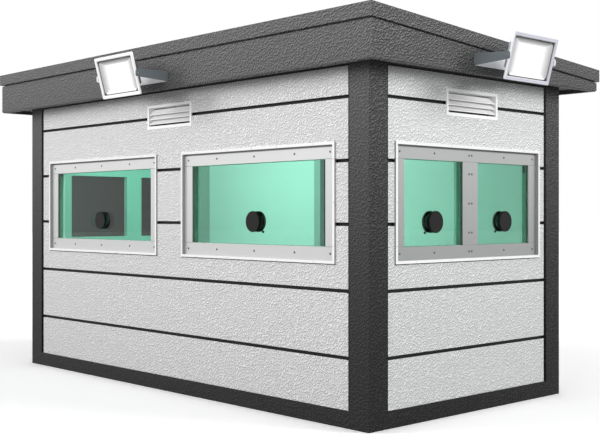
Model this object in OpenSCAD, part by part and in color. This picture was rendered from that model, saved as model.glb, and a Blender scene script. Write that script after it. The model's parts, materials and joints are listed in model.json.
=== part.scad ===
// Security guard booth: a flat-roofed cabin on a base frame, clad in planks between dark corner posts,
// with thick glass in screwed window frames, a port in each pane, vents and tilting floodlights.
// The origin is the middle of the footprint on the ground; the front faces -Y and +Z is up.

/* [Booth] */
// Width along the front, over the corner posts
booth_w = 4000; // [3300:10:6000]
// Depth from front to back, over the corner posts
booth_d = 2000; // [1650:10:3000]
// Height of the base frame
base_h = 107; // [80:1:160]
// Width of a base bearer seen from above
bearer_w = 80; // [50:1:120]
// Ledge of the base frame that carries the floor inside the walls
floor_ledge = 42; // [20:1:80]
// Thickness of the floor deck
floor_t = 25; // [15:1:40]
// Width of each face of a corner post
post_w = 162; // [120:1:180]
// Height of the ceiling and of the underside of the eaves
eaves_z = 2197; // [1800:1:2700]

/* [Walls] */
// Thickness of the wall behind the planks
wall_t = 90; // [70:1:140]
// Thickness of a cladding plank
plank_t = 18; // [12:1:30]
// How far the planks lie behind the faces of the posts
plank_recess = 10; // [4:1:16]
// Width of the dark joint between planks and beside the posts
groove = 17; // [8:1:24]
// Height of the middle of the lowest joint
first_groove_z = 423; // [300:1:520]
// Spacing of the joints up to the window sills
lower_row = 404; // [300:1:500]
// Spacing of the joints beside the windows
upper_row = 386; // [300:1:500]
// Least height of the row under the eaves, where a joint nearer to them is left out
top_row_min = 80; // [40:1:150]

/* [Windows] */
// Wall between the ceiling and the window frames
window_drop = 460; // [330:1:600]
// Height of a window frame over its flange
window_h = 749; // [600:1:900]
// Wall between a corner post and a front window frame
front_window_side = 126; // [60:1:400]
// Plain wall between the two front window frames
front_window_gap = 304; // [200:1:500]
// Wall between a corner post and an end window frame
end_window_side = 78; // [40:1:250]
// Width of the flange that lies on the planks
flange_w = 18; // [12:1:30]
// Thickness of the flange
flange_t = 10; // [5:1:14]
// Thickness of the steel that lines a window opening
lining_t = 8; // [5:1:12]
// Width of the bars that hold the glass
bar_w = 85; // [50:1:110]
// Thickness of the bars that hold the glass
bar_t = 8; // [5:1:16]
// How far the bars lie behind the face of the flange
bar_depth = 25; // [12:1:32]
// Width of the middle bar of an end window
mullion_w = 158; // [110:1:200]
// Thickness of the glass
glass_t = 42; // [30:1:46]
// Fine seam between two bars
seam = 0.8; // [0.5:0.1:1.5]

/* [Ports] */
// Height of the middle of a port over the lower edge of its window frame
port_rise = 255; // [205:1:420]
// Diameter of the outer disc
port_disc_d = 140; // [110:1:160]
// How far the outer disc stands out of the glass
port_disc_t = 25; // [15:1:30]
// Diameter of the sleeve through the glass
port_sleeve_d = 100; // [70:1:105]
// Thickness of the inner ring
port_ring_t = 14; // [8:1:18]
// Length of the small turning lever
port_lever = 12; // [8:1:30]
// Diameter of the small turning lever
port_lever_d = 9; // [5:1:12]
// Diameter of the ball on the lever's end
port_ball_d = 18; // [10:1:22]
// Angle of the small turning lever below the level
port_lever_turn = 56; // [0:1:90]

/* [Vents] */
// Width of a vent over its flange
vent_w = 540; // [400:1:600]
// Height of a vent over its flange
vent_h = 177; // [140:1:210]
// Wall between the ceiling and a vent
vent_drop = 97; // [40:1:130]
// Width of the vent's flange at its sides
vent_side = 20; // [14:1:28]
// Width of the vent's flange at its top
vent_top = 18; // [12:1:28]
// Height of the vent's sill
vent_sill = 22; // [14:1:32]
// How far the vent's flange stands out of the planks
vent_proud = 5; // [3:1:9]
// Thickness of the vent's sheet
vent_sheet = 4; // [3:0.5:6]
// Spacing of the louvre blades
blade_pitch = 35; // [25:1:50]
// Gap between the sill and the lowest blade
blade_gap = 13; // [6:1:20]
// Height of the upright lip along a blade's lower edge
blade_lip = 5; // [3:1:8]
// How far a blade rises behind its lip
blade_rise = 40; // [20:1:50]
// How far a blade runs inwards behind its lip
blade_run = 40; // [20:1:60]

/* [Roof] */
// Overhang of the fascia at the front and back
eaves_front = 182; // [120:1:260]
// Overhang of the fascia at the ends
eaves_end = 195; // [120:1:260]
// Thickness of a fascia board
fascia_t = 34; // [28:1:50]
// How far the fascia hangs below the ceiling
fascia_drop = 25; // [10:1:40]
// Bevel along the lower edge of the fascia
fascia_bevel = 9; // [3:1:14]
// How much the roof falls from front to back
roof_fall = 170; // [0:1:300]
// Gap between the ceiling and the trim along the low side of the roof
roof_gap = 25; // [5:1:100]
// Height of the trim round the roof
trim_h = 85; // [60:1:120]
// Width of the trim seen from above
trim_w = 70; // [60:1:100]
// How far the trim stands out over the front and back fascia
trim_out_front = 18; // [10:1:26]
// How far the trim stands out over the end fascia
trim_out_end = 12; // [10:1:26]
// Height of the shadow joint under the trim
shadow_h = 10; // [6:1:16]
// Depth of the shadow joint under the trim
shadow_in = 14; // [8:1:20]
// Thickness of the ceiling and eaves board
ceiling_t = 20; // [12:1:30]
// Thickness of the roof sheet
sheet_t = 50; // [30:1:55]
// How far the roof sheet lies below the top of the trim
sheet_set = 15; // [8:1:25]

/* [Floodlights] */
// Width of a lamp head
lamp_w = 472; // [420:1:540]
// Height of a lamp head
lamp_h = 295; // [220:1:320]
// Depth of the lamp's front frame
lamp_rim_t = 14; // [11:1:45]
// Depth of the tapered lamp body behind its front frame
lamp_body_t = 58; // [40:1:90]
// Step from the edge of the front frame in to the lamp body
lamp_step = 24; // [10:1:40]
// Width of the lamp body's flat back
lamp_back_w = 272; // [180:1:320]
// Height of the lamp body's flat back
lamp_back_h = 162; // [90:1:200]
// Bevel round the front frame
lamp_bevel = 3; // [2:0.5:6]
// Height of the cooling fins on the lamp's back
fin_h = 30; // [10:1:50]
// Thickness of a cooling fin
fin_t = 5; // [3:1:8]
// Spacing of the cooling fins
fin_pitch = 26; // [18:1:40]
// Bevel at the outer corners of a cooling fin
fin_bevel = 8; // [2:1:9]
// Width of the front frame at the lamp's sides
lamp_side = 24; // [18:1:44]
// Width of the front frame at the lamp's top and bottom
lamp_edge = 24; // [18:1:36]
// How far the lamp glass lies behind the front frame
lens_set = 5; // [3:1:10]
// Thickness of the lamp glass
lens_t = 4; // [3:1:6]
// Width of the ledge that the lamp glass rests on
lens_ledge = 8; // [4:1:12]
// Depth of the reflector behind the lamp glass
reflector_t = 14; // [8:1:20]
// Width of the reflector's sloping sides
reflector_side = 76; // [40:1:90]
// Height of the reflector's sloping top and bottom
reflector_edge = 33; // [20:1:45]
// Tilt of the lamps towards the ground
lamp_tilt = 15.4; // [0:0.1:30]
// Distance of the tilting axis from the fascia
lamp_out = 254; // [230:1:320]
// Height of the tilting axis over the lower edge of the fascia
lamp_rise = 88; // [50:1:110]
// Thickness of the yoke's bent strip
yoke_t = 6; // [4:1:10]
// Height of the yoke's strip on the fascia
yoke_h = 75; // [60:1:90]
// Height of a yoke arm at the pivot
yoke_end = 48; // [36:1:56]
// How far a yoke arm reaches past the pivot
yoke_nose = 16; // [12:1:28]
// Radius of the corners at a yoke arm's end
yoke_round = 14; // [6:1:20]
// Gap between the lamp head and the yoke arms
yoke_gap = 5; // [5:0.5:10]
// Diameter of the pivot bolts
pivot_d = 12; // [8:1:16]
// Diameter of the spacers between the lamp head and the yoke arms
spacer_d = 13; // [13:1:40]
// Width of a pivot bolt's head across its corners
bolt_head_d = 17; // [14:1:26]
// Height of a pivot bolt's head
bolt_head_h = 6; // [5:1:12]

/* [Door] */
// Place of the door's middle along the back, towards +X
door_x = 22; // [-300:1:300]
// Width of the door leaf
door_w = 720; // [650:1:900]
// Wall between the ceiling and the door frame
door_drop = 96; // [40:1:200]
// Thickness of the door leaf
door_t = 50; // [40:1:60]
// Face width of the door frame
door_frame_w = 60; // [30:1:80]
// Overlap of the door stop behind the leaf
door_stop = 15; // [10:1:25]
// Height of the door's threshold
threshold_h = 10; // [6:1:20]
// Running gap round the door leaf
door_gap = 3; // [2:0.5:5]
// Height of a hinge
hinge_h = 110; // [80:1:140]
// Distance of the middle of the outer hinges from the ends of the leaf
hinge_in = 160; // [100:1:300]
// Width of a hinge flap on each side of the pin
hinge_flap = 24; // [16:1:36]
// Thickness of a hinge flap
hinge_t = 4; // [3:1:6]
// Diameter of a hinge barrel
hinge_d = 16; // [12:1:22]
// Height of the handle over the foot of the leaf
handle_rise = 930; // [700:1:1100]
// Distance of the handle from the edge of the leaf
handle_in = 70; // [50:1:100]
// Width of the handle plate
handle_plate_w = 44; // [30:1:60]
// Height of the handle plate
handle_plate_h = 220; // [150:1:280]
// Thickness of the handle plate
handle_plate_t = 8; // [4:1:12]
// Diameter of the handle's neck
handle_neck_d = 20; // [14:1:24]
// Distance of the lever's outer face from the leaf
handle_out = 55; // [40:1:70]
// Length of the lever
lever_l = 130; // [100:1:160]
// Height of the lever
lever_h = 22; // [16:1:30]
// Thickness of the lever
lever_t = 16; // [10:1:24]

/* [Hidden] */

$fn = 48;
eps = 1;                                    // overshoot of a cut past a face
fit = 0.3;                                  // clearance between pieces that seat on each other

dark = [0.23, 0.23, 0.23];
pale = [0.85, 0.85, 0.85];
glass_green = [0.5, 0.85, 0.72, 0.5];
port_black = [0.1, 0.1, 0.1];

// Depths behind the face of the posts
core_in = plank_recess + plank_t;
wall_in = core_in + wall_t;
bar_in = plank_recess - flange_t + bar_depth;
glass_in = bar_in + bar_t;
stop_in = glass_in + glass_t;

// Two rows up to the window sills, then as many rows as the wall takes
rows_to_sill = 2;
groove_z = [
    for (i = [0:ceil(eaves_z / min(lower_row, upper_row))])
        let (z = first_groove_z + min(i, rows_to_sill) * lower_row + max(i - rows_to_sill, 0) * upper_row)
            if (z < eaves_z - top_row_min) z
];

front_window_w = booth_w / 2 - post_w - front_window_side - front_window_gap / 2;
front_window_x = (front_window_gap + front_window_w) / 2;
end_window_w = booth_d - 2 * (post_w + end_window_side);
window_z = eaves_z - window_drop - window_h;
port_z = window_z + port_rise;
vent_z = eaves_z - vent_drop - vent_h;

fascia_x = booth_w / 2 + eaves_end;
fascia_y = booth_d / 2 + eaves_front;
trim_x = fascia_x + trim_out_end;
trim_y = fascia_y + trim_out_front;
fascia_z = eaves_z - fascia_drop;
fascia_top = eaves_z + ceiling_t + roof_gap + roof_fall;

lamp_z = fascia_z + lamp_rise;
arm_in = lamp_w / 2 + yoke_gap;

door_side = door_w / 2 + door_gap + door_frame_w;
door_foot = base_h + threshold_h + door_gap;
door_top = eaves_z - door_drop;
door_h = door_top - door_frame_w - door_gap - door_foot;

// Height of the underside of the roof trim at a place along Y
function roof_z(y) = fascia_top - roof_fall * (y + trim_y) / (2 * trim_y);

// Frames of the four sides: X along the side, Y inwards from the face of the posts
module on_front() { translate([0, -booth_d / 2, 0]) children(); }
module on_back() { translate([0, booth_d / 2, 0]) rotate([0, 0, 180]) children(); }
module on_right() { translate([booth_w / 2, 0, 0]) rotate([0, 0, 90]) children(); }
module on_left() { translate([-booth_w / 2, 0, 0]) rotate([0, 0, -90]) children(); }

// A block given by its ranges along X, Y and Z
module block(x, y, z) {
    translate([x[0], y[0], z[0]]) cube([x[1] - x[0], y[1] - y[0], z[1] - z[0]]);
}

// Base and floor

module base_frame() {
    side = wall_in + floor_ledge;
    color(dark) {
        difference() {
            block([-booth_w / 2, booth_w / 2], [-booth_d / 2, booth_d / 2], [0, base_h]);
            block([side - booth_w / 2, booth_w / 2 - side], [side - booth_d / 2, booth_d / 2 - side],
                [-eps, base_h + eps]);
        }
        for (i = [-1:1])
            translate([i * (booth_w / 2 - side) / 2, 0, base_h / 2])
                cube([bearer_w, booth_d - 2 * side + eps, base_h], center = true);
    }
}

module floor_deck() {
    color([0.45, 0.45, 0.44])
        block([wall_in - booth_w / 2, booth_w / 2 - wall_in], [wall_in - booth_d / 2, booth_d / 2 - wall_in],
            [base_h, base_h + floor_t]);
}

// An angle that wraps the corner of the walls
module corner_post() {
    linear_extrude(eaves_z - base_h)
        polygon([[0, 0], [post_w, 0], [post_w, core_in], [core_in, core_in], [core_in, post_w], [0, post_w]]);
}

module corner_posts() {
    color(dark)
        for (sx = [0, 1])
            for (sy = [0, 1])
                translate([(sx - 0.5) * booth_w, (sy - 0.5) * booth_d, base_h])
                    mirror([sx, 0, 0])
                        mirror([0, sy, 0])
                            corner_post();
}

// Walls and cladding

// The hole that a window's lining fills, past both faces of the wall
module window_hole(x, w) {
    lining = flange_w - lining_t;
    block([x - w / 2 + lining, x + w / 2 - lining], [-eps, wall_in + eps],
        [window_z + lining, window_z + window_h - lining]);
}

// The hole that a vent's sleeve fills
module vent_hole() {
    half = vent_w / 2 - vent_side + vent_sheet;
    block([-half, half], [-eps, wall_in + eps],
        [vent_z + vent_sill - vent_sheet, vent_z + vent_h - vent_top + vent_sheet]);
}

module door_hole() {
    block([-door_x - door_side, -door_x + door_side], [-eps, wall_in + eps], [base_h - eps, door_top]);
}

module front_openings() {
    for (s = [-1, 1])
        window_hole(s * front_window_x, front_window_w);
    vent_hole();
}

module end_openings() {
    window_hole(0, end_window_w);
    vent_hole();
}

// A wall from the base frame to the ceiling, less the openings in it
module wall(half) {
    difference() {
        block([-half, half], [core_in, wall_in], [base_h, eaves_z]);
        children();
    }
}

// Rows of planks between the posts, less the openings in them
module planks(half) {
    ends = half - post_w - groove;
    difference() {
        for (i = [0:len(groove_z)])
            block([-ends, ends], [plank_recess, core_in], [
                i == 0 ? base_h : groove_z[i - 1] + groove / 2,
                i == len(groove_z) ? eaves_z : groove_z[i] - groove / 2,
            ]);
        children();
    }
}

module front_wall() { color(pale) on_front() wall(booth_w / 2 - core_in) front_openings(); }
module back_wall() { color(pale) on_back() wall(booth_w / 2 - core_in) door_hole(); }
module left_wall() { color(pale) on_left() wall(booth_d / 2 - wall_in) end_openings(); }
module right_wall() { color(pale) on_right() wall(booth_d / 2 - wall_in) end_openings(); }

module front_cladding() { color(pale) on_front() planks(booth_w / 2) front_openings(); }
module back_cladding() { color(pale) on_back() planks(booth_w / 2) door_hole(); }
module left_cladding() { color(pale) on_left() planks(booth_d / 2) end_openings(); }
module right_cladding() { color(pale) on_right() planks(booth_d / 2) end_openings(); }

// Roof

module ceiling() {
    color(pale)
        block([fascia_t - fascia_x, fascia_x - fascia_t], [fascia_t - fascia_y, fascia_y - fascia_t],
            [eaves_z, eaves_z + ceiling_t]);
}

// The outline of the fascia seen from an end, up to a given distance below the trim
module fascia_side(y, below) {
    polygon([[-y, fascia_z], [y, fascia_z], [y, roof_z(y) - below], [-y, roof_z(-y) - below]]);
}

// A slab along X whose outline is given in Y and Z
module along_x(x) {
    translate([x[0], 0, 0]) rotate([90, 0, 90]) linear_extrude(x[1] - x[0]) children();
}

// A fascia board across the front or the back, rebated at its top for the shadow joint
module fascia_across(s) {
    module strip(y, below) {
        along_x([seam + fascia_t - fascia_x, fascia_x - fascia_t - seam])
            polygon([for (p = [[y, 0], [fascia_y - fascia_t, 0], [fascia_y - fascia_t, 1], [y, 1]])
                [s * p[0], p[1] == 0 ? fascia_z : roof_z(s * p[0]) - below]]);
    }
    strip(fascia_y, shadow_h);
    strip(fascia_y - shadow_in, fit);
}

// A tapered fascia board along an end
module fascia_along(s) {
    mirror([s < 0 ? 1 : 0, 0, 0]) {
        along_x([fascia_x - fascia_t, fascia_x]) fascia_side(fascia_y, shadow_h);
        along_x([fascia_x - fascia_t, fascia_x - shadow_in]) fascia_side(fascia_y - shadow_in, fit);
    }
}

// The wedge that bevels the lower edge of the fascia on one side, at y from the middle and x long
module fascia_wedge(x, y) {
    along_x([-x - eps, x + eps])
        polygon([[y + eps, fascia_z + fascia_bevel + eps], [y + eps, fascia_z - eps],
            [y - fascia_bevel - eps, fascia_z - eps]]);
}

module fascia() {
    color(dark)
        difference() {
            for (s = [-1, 1]) {
                fascia_across(s);
                fascia_along(s);
            }
            for (turn = [0, 180]) {
                rotate([0, 0, turn]) fascia_wedge(fascia_x, fascia_y);
                rotate([0, 0, turn + 90]) fascia_wedge(fascia_y, fascia_x);
            }
        }
}

// The outline of a roof layer seen from an end, between two heights over the trim's underside
module roof_layer(y, low, high) {
    polygon([[-y, roof_z(-y) + low], [y, roof_z(y) + low], [y, roof_z(y) + high], [-y, roof_z(-y) + high]]);
}

module roof_trim() {
    color(dark)
        difference() {
            along_x([-trim_x, trim_x]) roof_layer(trim_y, 0, trim_h);
            along_x([trim_w - trim_x, trim_x - trim_w]) roof_layer(trim_y - trim_w, -trim_h, 2 * trim_h);
        }
}

module roof_sheet() {
    top = trim_h - sheet_set;
    color([0.35, 0.35, 0.35])
        along_x([trim_w - trim_x, trim_x - trim_w]) roof_layer(trim_y - trim_w, top - sheet_t, top);
}

// Windows

// Flange on the planks, lining through the wall and the stop behind the glass
module window_frame(w, panes) {
    opening_h = window_h - 2 * flange_w;
    lining = flange_w - lining_t;
    translate([0, 0, window_z + window_h / 2])
        difference() {
            union() {
                block([-w / 2, w / 2], [plank_recess - flange_t, plank_recess],
                    [-window_h / 2, window_h / 2]);
                block([lining - w / 2, w / 2 - lining], [plank_recess - eps, wall_in],
                    [lining - window_h / 2, window_h / 2 - lining]);
            }
            block([flange_w - w / 2, w / 2 - flange_w], [-flange_t - eps, stop_in],
                [-opening_h / 2, opening_h / 2]);
            pane_holes(w, panes);
        }
}

// Where the glass of a window shows, one hole for each pane
module pane_holes(w, panes) {
    side = w / 2 - flange_w - bar_w;
    opening_h = window_h - 2 * flange_w - 2 * bar_w;
    ranges = panes == 1 ? [[-side, side]] : [[-side, -mullion_w / 2], [mullion_w / 2, side]];
    for (r = ranges)
        block(r, [0, wall_in + eps], [-opening_h / 2, opening_h / 2]);
}

// Bars that press the glass against the stop: full bars above and below, short ones between them
module window_bars(w, panes) {
    side = w / 2 - flange_w;
    high = window_h / 2 - flange_w;
    y = [bar_in, glass_in];
    short = [seam + bar_w - high, high - bar_w - seam];
    translate([0, 0, window_z + window_h / 2]) {
        block([-side, side], y, [high - bar_w, high]);
        block([-side, side], y, [-high, bar_w - high]);
        block([-side, bar_w - side], y, short);
        block([side - bar_w, side], y, short);
        if (panes == 2)
            block([-mullion_w / 2, mullion_w / 2], y, short);
    }
}

// Middle of a pane along its window
function pane_x(w, panes, i) =
    panes == 1 ? 0 : (2 * i - 1) * (w / 2 - flange_w - bar_w + mullion_w / 2) / 2;

// Thick panes, held at their edges, each bored for its port
module window_glass(w, panes) {
    side = w / 2 - flange_w - fit;
    high = window_h / 2 - flange_w - fit;
    ranges = panes == 1 ? [[-side, side]] : [[-side, -seam], [seam, side]];
    difference() {
        for (r = ranges)
            block(r, [glass_in, stop_in - fit],
                [window_z + window_h / 2 - high, window_z + window_h / 2 + high]);
        for (i = [0:panes - 1])
            translate([pane_x(w, panes, i), glass_in - eps, port_z])
                rotate([-90, 0, 0])
                    cylinder(d = port_sleeve_d + 2 * fit, h = glass_t + 2 * eps);
    }
}

// A stepped disc outside, a sleeve through the glass and a ring with a ball lever inside
module port(turn) {
    lip = port_disc_t / 4;
    translate([0, 0, port_z]) {
        rotate([-90, 0, 0])
            rotate_extrude()
                polygon([
                    [0, glass_in - port_disc_t], [port_disc_d / 2 - lip / 2, glass_in - port_disc_t],
                    [port_disc_d / 2, glass_in - port_disc_t + lip / 2],
                    [port_disc_d / 2, glass_in - port_disc_t + 2 * lip],
                    [port_disc_d / 2 - lip, glass_in - port_disc_t + 2 * lip],
                    [port_disc_d / 2 - lip, glass_in],
                    [port_sleeve_d / 2, glass_in], [port_sleeve_d / 2, stop_in], [port_disc_d / 2, stop_in],
                    [port_disc_d / 2, stop_in + port_ring_t], [0, stop_in + port_ring_t],
                ]);
        rotate([0, turn, 0])
            translate([port_disc_d / 2 - eps, stop_in + port_ball_d / 2, 0]) {
                rotate([0, 90, 0]) cylinder(d = port_lever_d, h = port_lever + eps);
                translate([port_lever + eps, 0, 0]) sphere(d = port_ball_d);
            }
    }
}

module ports(w, panes, turn) {
    for (i = [0:panes - 1])
        translate([pane_x(w, panes, i), 0, 0]) port(turn);
}

module front_left_window() {
    color(pale) on_front() translate([-front_window_x, 0, 0]) window_frame(front_window_w, 1);
}
module front_right_window() {
    color(pale) on_front() translate([front_window_x, 0, 0]) window_frame(front_window_w, 1);
}
module left_window() { color(pale) on_left() window_frame(end_window_w, 2); }
module right_window() { color(pale) on_right() window_frame(end_window_w, 2); }

module front_left_bars() {
    color(pale) on_front() translate([-front_window_x, 0, 0]) window_bars(front_window_w, 1);
}
module front_right_bars() {
    color(pale) on_front() translate([front_window_x, 0, 0]) window_bars(front_window_w, 1);
}
module left_bars() { color(pale) on_left() window_bars(end_window_w, 2); }
module right_bars() { color(pale) on_right() window_bars(end_window_w, 2); }

module front_left_glass() {
    color(glass_green) on_front() translate([-front_window_x, 0, 0]) window_glass(front_window_w, 1);
}
module front_right_glass() {
    color(glass_green) on_front() translate([front_window_x, 0, 0]) window_glass(front_window_w, 1);
}
module left_glass() { color(glass_green) on_left() window_glass(end_window_w, 2); }
module right_glass() { color(glass_green) on_right() window_glass(end_window_w, 2); }

module front_ports() {
    color(port_black)
        on_front()
            for (s = [-1, 1])
                translate([s * front_window_x, 0, 0]) ports(front_window_w, 1, port_lever_turn);
}
module end_ports() { color(port_black) ports(end_window_w, 2, 180 - port_lever_turn); }
module left_ports() { on_left() end_ports(); }
module right_ports() { on_right() end_ports(); }

// Vents

// One blade across a vent: an upright lip, then a slope that rises inwards
module vent_blade() {
    half = (vent_w + vent_sheet) / 2 - vent_side;
    along_x([-half, half])
        polygon([
            [0, 0], [vent_sheet, 0], [vent_sheet, blade_lip],
            [vent_sheet + blade_run, blade_lip + blade_rise],
            [blade_run, blade_lip + blade_rise], [0, blade_lip],
        ]);
}

// A flanged sleeve through the wall with as many blades across it as its height takes
module vent() {
    inner = vent_w / 2 - vent_side;
    room = vent_h - vent_top - vent_sill - blade_gap - blade_lip - blade_rise;
    translate([0, 0, vent_z]) {
        difference() {
            union() {
                block([-vent_w / 2, vent_w / 2], [plank_recess - vent_proud, plank_recess], [0, vent_h]);
                block([-inner - vent_sheet, inner + vent_sheet], [plank_recess - eps, wall_in],
                    [vent_sill - vent_sheet, vent_h - vent_top + vent_sheet]);
            }
            block([-inner, inner], [-eps, wall_in + eps], [vent_sill, vent_h - vent_top]);
        }
        for (i = [0:floor(room / blade_pitch)])
            translate([0, plank_recess, vent_sill + blade_gap + i * blade_pitch]) vent_blade();
    }
}

module front_vent() { color("white") on_front() vent(); }
module left_vent() { color("white") on_left() vent(); }
module right_vent() { color("white") on_right() vent(); }

// Floodlights, in a frame with X along the wall, Y towards the wall and its zero on the fascia

module on_front_fascia() { translate([0, -fascia_y, lamp_z]) children(); }
module on_right_fascia() { translate([fascia_x, 0, lamp_z]) rotate([0, 0, 90]) children(); }

// Outline of a yoke arm in its own plane: tapered to the pivot, with round corners at its end
module yoke_arm() {
    tip = -lamp_out - yoke_nose;
    polygon([
        [0, -yoke_h / 2], [0, yoke_h / 2], [-lamp_out, yoke_end / 2], [-lamp_out, -yoke_end / 2],
    ]);
    translate([tip + yoke_round, -yoke_end / 2]) square([yoke_nose, yoke_end]);
    translate([tip, yoke_round - yoke_end / 2]) square([yoke_nose, yoke_end - 2 * yoke_round]);
    for (s = [-1, 1])
        translate([tip + yoke_round, s * (yoke_end / 2 - yoke_round)]) circle(r = yoke_round);
}

// A strip bent to a U: flat on the fascia, with an arm to each pivot
module lamp_yoke() {
    block([-arm_in - yoke_t, arm_in + yoke_t], [-yoke_t, 0], [-yoke_h / 2, yoke_h / 2]);
    for (s = [0, 1])
        mirror([s, 0, 0])
            translate([arm_in, 0, 0])
                difference() {
                    rotate([90, 0, 90]) linear_extrude(yoke_t) yoke_arm();
                    translate([-eps, -lamp_out, 0])
                        rotate([0, 90, 0])
                            cylinder(d = pivot_d + 2 * fit, h = yoke_t + 2 * eps);
                }
}

// The lamp's own frame, tilted about the pivot, with the middle of the front frame at Y zero
module in_lamp() { translate([0, -lamp_out, 0]) rotate([lamp_tilt, 0, 0]) children(); }

// A solid along Y with a rectangular section, from stations of depth, half width and half height
module stepped(stations) {
    reach = 2 * max([for (s = stations) max(s[1], s[2])]) + eps;
    back = [for (i = [len(stations) - 1:-1:0]) stations[i]];
    intersection() {
        linear_extrude(reach, center = true)
            polygon(concat([for (s = stations) [s[1], s[0]]], [for (s = back) [-s[1], s[0]]]));
        rotate([90, 0, 90])
            linear_extrude(reach, center = true)
                polygon(concat([for (s = stations) [s[0], s[2]]], [for (s = back) [s[0], -s[2]]]));
    }
}

// Upright fins across the flat back of a lamp
module lamp_fins(depth) {
    high = lamp_back_h / 2;
    last = floor((lamp_back_w - fin_t) / 2 / fin_pitch);
    for (i = [-last:last])
        along_x([i * fin_pitch - fin_t / 2, i * fin_pitch + fin_t / 2])
            polygon([
                [depth - eps, -high], [depth - eps, high], [depth + fin_h - fin_bevel, high],
                [depth + fin_h, high - fin_bevel], [depth + fin_h, fin_bevel - high],
                [depth + fin_h - fin_bevel, -high],
            ]);
}

// A bevelled front frame and a tapered body with fins, cut for the glass and a shallow reflector
module lamp_head() {
    w = lamp_w / 2;
    h = lamp_h / 2;
    mouth_w = w - lamp_side;
    mouth_h = h - lamp_edge;
    front = -lamp_rim_t / 2;
    rim_back = lamp_rim_t / 2;
    lens_back = front + lens_set + lens_t;
    in_lamp() {
        difference() {
            stepped([
                [front, w - lamp_bevel, h - lamp_bevel], [front + lamp_bevel, w, h], [rim_back, w, h],
                [rim_back, w - lamp_step, h - lamp_step],
                [rim_back + lamp_body_t, lamp_back_w / 2, lamp_back_h / 2],
            ]);
            stepped([
                [front - eps, mouth_w + lens_set, mouth_h + lens_set],
                [front + lens_set - eps, mouth_w, mouth_h], [lens_back, mouth_w, mouth_h],
                [lens_back, mouth_w - lens_ledge, mouth_h - lens_ledge],
                [lens_back + reflector_t, mouth_w - lens_ledge - reflector_side,
                    mouth_h - lens_ledge - reflector_edge],
            ]);
        }
        lamp_fins(rim_back + lamp_body_t);
    }
}

module lamp_lens() {
    mouth = [lamp_w / 2 - lamp_side - fit, lamp_h / 2 - lamp_edge - fit];
    in_lamp()
        block([-mouth[0], mouth[0]], [lens_set - lamp_rim_t / 2, lens_set + lens_t - lamp_rim_t / 2],
            [-mouth[1], mouth[1]]);
}

// Spacer and bolt with a six-sided head at each side of the lamp
module lamp_pivots() {
    in_lamp()
        for (s = [0, 1])
            mirror([s, 0, 0])
                translate([lamp_w / 2, 0, 0])
                    rotate([0, 90, 0]) {
                        cylinder(d = spacer_d, h = yoke_gap - fit);
                        cylinder(d = pivot_d, h = yoke_gap + yoke_t + eps);
                        translate([0, 0, yoke_gap + yoke_t + fit])
                            cylinder(d = bolt_head_d, h = bolt_head_h, $fn = 6);
                    }
}

module front_lamp_yoke() { color("silver") on_front_fascia() lamp_yoke(); }
module front_lamp_head() { color("white") on_front_fascia() lamp_head(); }
module front_lamp_lens() { color("white") on_front_fascia() lamp_lens(); }
module front_lamp_pivots() { color("silver") on_front_fascia() lamp_pivots(); }
module right_lamp_yoke() { color("silver") on_right_fascia() lamp_yoke(); }
module right_lamp_head() { color("white") on_right_fascia() lamp_head(); }
module right_lamp_lens() { color("white") on_right_fascia() lamp_lens(); }
module right_lamp_pivots() { color("silver") on_right_fascia() lamp_pivots(); }

// Door in the back wall, in the frame of that side with its zero at the door's middle

module at_door() { on_back() translate([-door_x, 0, 0]) children(); }

// Jambs, head and threshold round the leaf, with a stop behind it
module door_frame() {
    clear = door_w / 2 + door_gap;
    head = door_foot + door_h + door_gap;
    color(dark)
        at_door()
            difference() {
                block([-door_side, door_side], [0, wall_in], [base_h, door_top]);
                block([-clear, clear], [-eps, door_t], [base_h + threshold_h, head]);
                block([door_stop - clear, clear - door_stop], [0, wall_in + eps],
                    [base_h + threshold_h, head - door_stop]);
            }
}

module door_leaf() {
    color(dark)
        at_door()
            block([-door_w / 2, door_w / 2], [0, door_t], [door_foot, door_foot + door_h]);
}

// Three butt hinges over the gap between the leaf and the frame
module door_hinges() {
    first = door_foot + hinge_in - hinge_h / 2;
    pitch = door_h / 2 - hinge_in;
    color("silver")
        at_door()
            for (i = [0:2])
                translate([door_w / 2 + door_gap, 0, first + i * pitch]) {
                    block([-hinge_flap, hinge_flap], [-hinge_t, 0], [0, hinge_h]);
                    translate([0, -hinge_d / 2, 0]) cylinder(d = hinge_d, h = hinge_h);
                }
}

// A plate with a lever
module door_handle() {
    color("silver")
        at_door()
            translate([handle_in - door_w / 2, 0, door_foot + handle_rise]) {
                block([-handle_plate_w / 2, handle_plate_w / 2], [-handle_plate_t, 0],
                    [-handle_plate_h / 2, handle_plate_h / 2]);
                rotate([90, 0, 0]) cylinder(d = handle_neck_d, h = handle_out - lever_t / 2);
                block([-handle_neck_d / 2, lever_l - handle_neck_d / 2], [-handle_out, lever_t - handle_out],
                    [-lever_h / 2, lever_h / 2]);
            }
}

base_frame();
floor_deck();
corner_posts();
front_wall();
back_wall();
left_wall();
right_wall();
front_cladding();
back_cladding();
left_cladding();
right_cladding();
ceiling();
fascia();
roof_trim();
roof_sheet();
front_left_window();
front_right_window();
left_window();
right_window();
front_left_bars();
front_right_bars();
left_bars();
right_bars();
front_left_glass();
front_right_glass();
left_glass();
right_glass();
front_ports();
left_ports();
right_ports();
front_vent();
left_vent();
right_vent();
front_lamp_yoke();
front_lamp_head();
front_lamp_lens();
front_lamp_pivots();
right_lamp_yoke();
right_lamp_head();
right_lamp_lens();
right_lamp_pivots();
door_frame();
door_leaf();
door_hinges();
door_handle();
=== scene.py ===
"""Looks of the security guard booth: finishes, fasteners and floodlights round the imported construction.

Everything is in metres in the frame of the construction: the origin is the middle of the footprint on the
ground, the front faces -Y and +Z is up.
"""
import json
import math

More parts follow.
